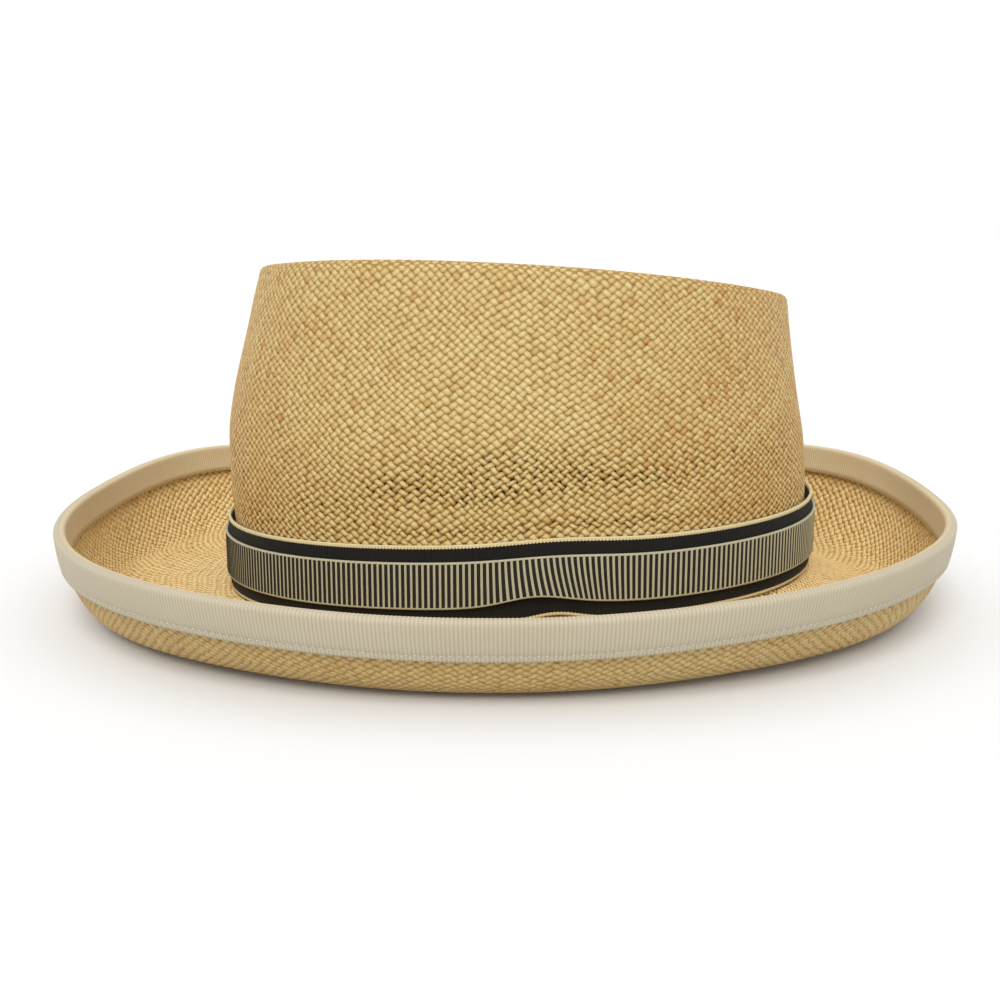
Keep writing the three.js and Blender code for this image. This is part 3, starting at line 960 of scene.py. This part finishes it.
for distance in INNER_ROWS:
    lay(binding_ring(angles, distance, FAR), 1, 1)
for turn in FOLD_TURNS:
    sideways, rise = FAR * math.cos(turn), (CLEARANCE + 0.95 * RIBBON_WALL) * math.sin(turn)
    lay(straw(angles, LIP) + out_at_lip * sideways + up_at_lip * rise, 1, float(turn < 1.3) * 0.7)
for distance in OUTER_ROWS:
    at_edge = distance == BINDING_OUTER_WIDTH
    scalloped = distance + at_edge * SCALLOP * np.cos(2 * np.pi * BINDING_STITCHES * turns)
    lay(binding_ring(angles, scalloped, -(FAR - pucker(turns, distance)[:, None])), 1, 0)
for distance in (BINDING_OUTER_WIDTH, 0.4):
    lay(binding_ring(angles, distance, -NEAR), 0, 0)
lay(straw(angles, LIP) + up_at_lip * CLEARANCE * 0.8, 0, 0)
for distance in (0.4, BINDING_INNER_WIDTH):
    lay(binding_ring(angles, distance, NEAR), 0, 1)
attributes = {"turn": turns, "proud": np.array(proud)[:, None], "inner": np.array(inner)[:, None]}
binding = ring_mesh("binding_ribbon", rings, True, cream_ribbon, attributes)
ribbed(binding, BINDING_RIBS, 0.17, cream_ribbon)
settle(binding, "binding_ribbon", "brim_binding")

# %% Running stitches of the binding
thread_finish, tree, shader = new_finish("cream_thread")
ply = noise(tree, own_place(tree), 3000.0, 1.0)
tree.links.new(blend(tree, ply, (0.60, 0.55, 0.42, 1), (0.50, 0.45, 0.33, 1)), shader.inputs["Base Color"])
shader.inputs["Roughness"].default_value = 0.6
seam_turns = (np.arange(BINDING_STITCHES) + 0.5) / BINDING_STITCHES
seam_angles = turns_to_angles(seam_turns, 6.8)
seam_depth = BINDING_OUTER_WIDTH - SEAM_RISE
SEAM_SINK = 0.16
on_seam = binding_ring(seam_angles, seam_depth, -FAR + SEAM_SINK)
before, after = (binding_ring(seam_angles + step, seam_depth, -FAR) for step in (-0.01, 0.01))
away = -facing(seam_angles, share_below_lip(seam_angles, seam_depth))
spread = np.broadcast_to((0.001, 0.001, 1.0), on_seam.shape)
vectors = {"spread": spread, "strand": unit(after - before), "upwards": away}
seam = point_piece("binding_seam", on_seam, vectors, np.ones(len(on_seam)))
run_tree(seam, STITCHES, {
    "Surface": binding, "Length Share": 0.75, "Width Share": 0.17, "Height": 0.0002,
    "Sides": 8, "Finish": thread_finish,
})
settle(seam, "binding_ribbon")

# %% [markdown]
# ## Wide hat band
# A black corded ribbon with a cream selvedge along each edge. The lower one shows only where the
# edge is tucked up. The ribbon follows the head oval, as the solid does, and stands a little off
# the crown at the front and back. A selvedge could be a cord of its own, but it is woven in one
# with the ribbon, so here it is a colour on the outermost rows.

# %% Black ribbon material
def black_finish():
    """Black between two cream selvedges, whose inner edges step in and out with the ribs. The grooves between
    the ribs carry painted shade, much weaker on the selvedges.
    """
    finish, tree, shader = ribbon_shader("black_ribbon", 0.75, 0.04)
    groove = carried(tree, "groove")
    off_middle = calc(tree, "ABSOLUTE", calc(tree, "SUBTRACT", carried(tree, "rise"), 0.5))
    tooth = calc(tree, "MULTIPLY_ADD", groove, 0.012, 0.956)
    edge = calc(tree, "GREATER_THAN", calc(tree, "ADD", off_middle, 0.5), tooth)
    wear = noise(tree, own_place(tree), 60.0, 4.0)
    black = blend(tree, wear, (0.0035, 0.0035, 0.0035, 1), (0.009, 0.008, 0.006, 1))
    cream = blend(tree, wear, (0.66, 0.56, 0.32, 1), (0.58, 0.48, 0.26, 1))
    colour = blend(tree, edge, black, cream)
    # painted shade: the grooves are darkened towards black, only a fifth as much on the cream selvedges
    groove_shade_share = calc(tree, "MULTIPLY_ADD", edge, -0.8, 1.0)
    deep = calc(tree, "MULTIPLY", calc(tree, "MULTIPLY", groove, groove_shade_share), 0.6)
    tree.links.new(blend(tree, deep, colour, (0.0015, 0.0015, 0.001, 1)), shader.inputs["Base Color"])
    return finish


black_ribbon = black_finish()
print("black ribbon finish is ready")

# %% Bands around the crown
def band_ring(angle, growth, z):
    return head_point(angle, STRAW_WALL + growth + BAND_STAND_OFF * np.cos(angle) ** 2, z)


EDGE_ROWS, EDGE_RIB_SHARE = 0.03, 0.4


def band(name, ribs, per_rib, gap, thickness, bottom, top, rises, finish, depth, lay=None):
    """A ribbed ribbon around the crown, between two heights given for each angle."""
    turns = np.arange(ribs * per_rib) / (ribs * per_rib)
    angles = turns_to_angles(turns, 2.99)
    rings, proud, rise = [], [], []
    section = [(share, 0) for share in (0.0, 0.5, 1.0)] + [(share, thickness) for share in reversed(rises)]
    for share, out_by in section:
        moved, stand = lay(angles, share) if lay else (angles, 0)
        rings.append(band_ring(moved, gap + out_by + stand, mix(bottom(moved), top(moved), share)))
        out_here = EDGE_RIB_SHARE if min(share, 1 - share) < EDGE_ROWS else 1
        proud.append(out_here if out_by else 0)
        rise.append(share)
    attributes = {"turn": turns, "proud": np.array(proud)[:, None], "rise": np.array(rise)[:, None]}
    piece = ring_mesh(name, rings, True, finish, attributes)
    ribbed(piece, ribs, depth, finish)
    return piece


WIDE_STAND, TUCK_LIFT, TUCK_PLACE, TUCK_LENGTH = 0.35, 2.3, 19, 10


def wide_bottom(angle):
    """The wide band rests on the root of the brim, apart from where its edge is tucked up."""
    return root_top(angle) + WIDE_STAND + TUCK_LIFT * near_bump(angle, TUCK_PLACE, TUCK_LENGTH)


WIDE_RISES = (0.0, 0.02, 0.2, 0.4, 0.6, 0.8, 0.93, 0.95, 0.965, 0.985, 1.0)
wide = band("wide_hat_band", 572, 4, CLEARANCE, 0.9, wide_bottom, band_top, WIDE_RISES, black_ribbon, 0.14)
settle(wide, "dark_ribbon", "wide_band")

# %% [markdown]
# ## Striped band
# The narrow band has fine cream and black stripes across it between two cream cords. It is laid
# over the wide band, and on the side shown its lower edge has been pulled up in one small ripple.
# The stripes are a pattern on the ribbon's map, counted around the hat, so they bend with it.

# %% Striped ribbon material
STRIPES = 338
STRIPE_SHARE = 0.4
CORD_FROM_MIDDLE = 0.462


def striped_finish():
    finish, tree, shader = ribbon_shader("striped_ribbon", 0.7, 0.0)
    places = add_node(tree, "ShaderNodeUVMap", uv_map="places").outputs["UV"]
    turn = add_node(tree, "ShaderNodeSeparateXYZ", {0: places}).outputs["X"]
    fraction = calc(tree, "FRACT", calc(tree, "MULTIPLY", turn, float(STRIPES)))
    stripe = calc(tree, "LESS_THAN", fraction, STRIPE_SHARE)
    off_middle = calc(tree, "ABSOLUTE", calc(tree, "SUBTRACT", carried(tree, "rise"), 0.5))
    cord = calc(tree, "GREATER_THAN", off_middle, CORD_FROM_MIDDLE)
    wear = noise(tree, own_place(tree), 300.0, 2.0)
    cream = blend(tree, wear, (0.44, 0.415, 0.28, 1), (0.36, 0.335, 0.22, 1))
    colour = blend(tree, calc(tree, "MAXIMUM", stripe, cord), (0.012, 0.011, 0.008, 1), cream)
    tree.links.new(colour, shader.inputs["Base Color"])
    return finish


striped_ribbon = striped_finish()
print("striped finish is ready")

# %% Striped band
def striped_top(angle):
    return band_top(angle) - STRIPED_DROP


def ripple(angle):
    return near_bump(angle, RIPPLE_PLACE, RIPPLE_LENGTH)


def striped_bottom(angle):
    return striped_top(angle) - STRIPED_WIDTH + RIPPLE_LIFT * ripple(angle)


RIPPLE_DRAG, RIPPLE_STAND = 2.2, 0.9


def ripple_lay(angle, share):
    """The pulled edge carries the stripes along with it, and the ribbon stands off there."""
    low = (1 - share) ** 1.5
    along = RIPPLE_DRAG * near_bump(angle, RIPPLE_PLACE + 8, RIPPLE_LENGTH + 2) * low
    return angle + along / (HEAD_LENGTH / 2), RIPPLE_STAND * ripple(angle) * low


STRIPED_RISES = (0.0, 0.03, 0.06, 0.18, 0.3, 0.45, 0.6, 0.8, 0.94, 0.97, 1.0)
striped = band(
    "striped_hat_band", STRIPES, 6, 2 * CLEARANCE + RIBBON_WALL, 0.8, striped_bottom, striped_top,
    STRIPED_RISES, striped_ribbon, 0.1, ripple_lay,
)
settle(striped, "striped_ribbon", "striped_band")
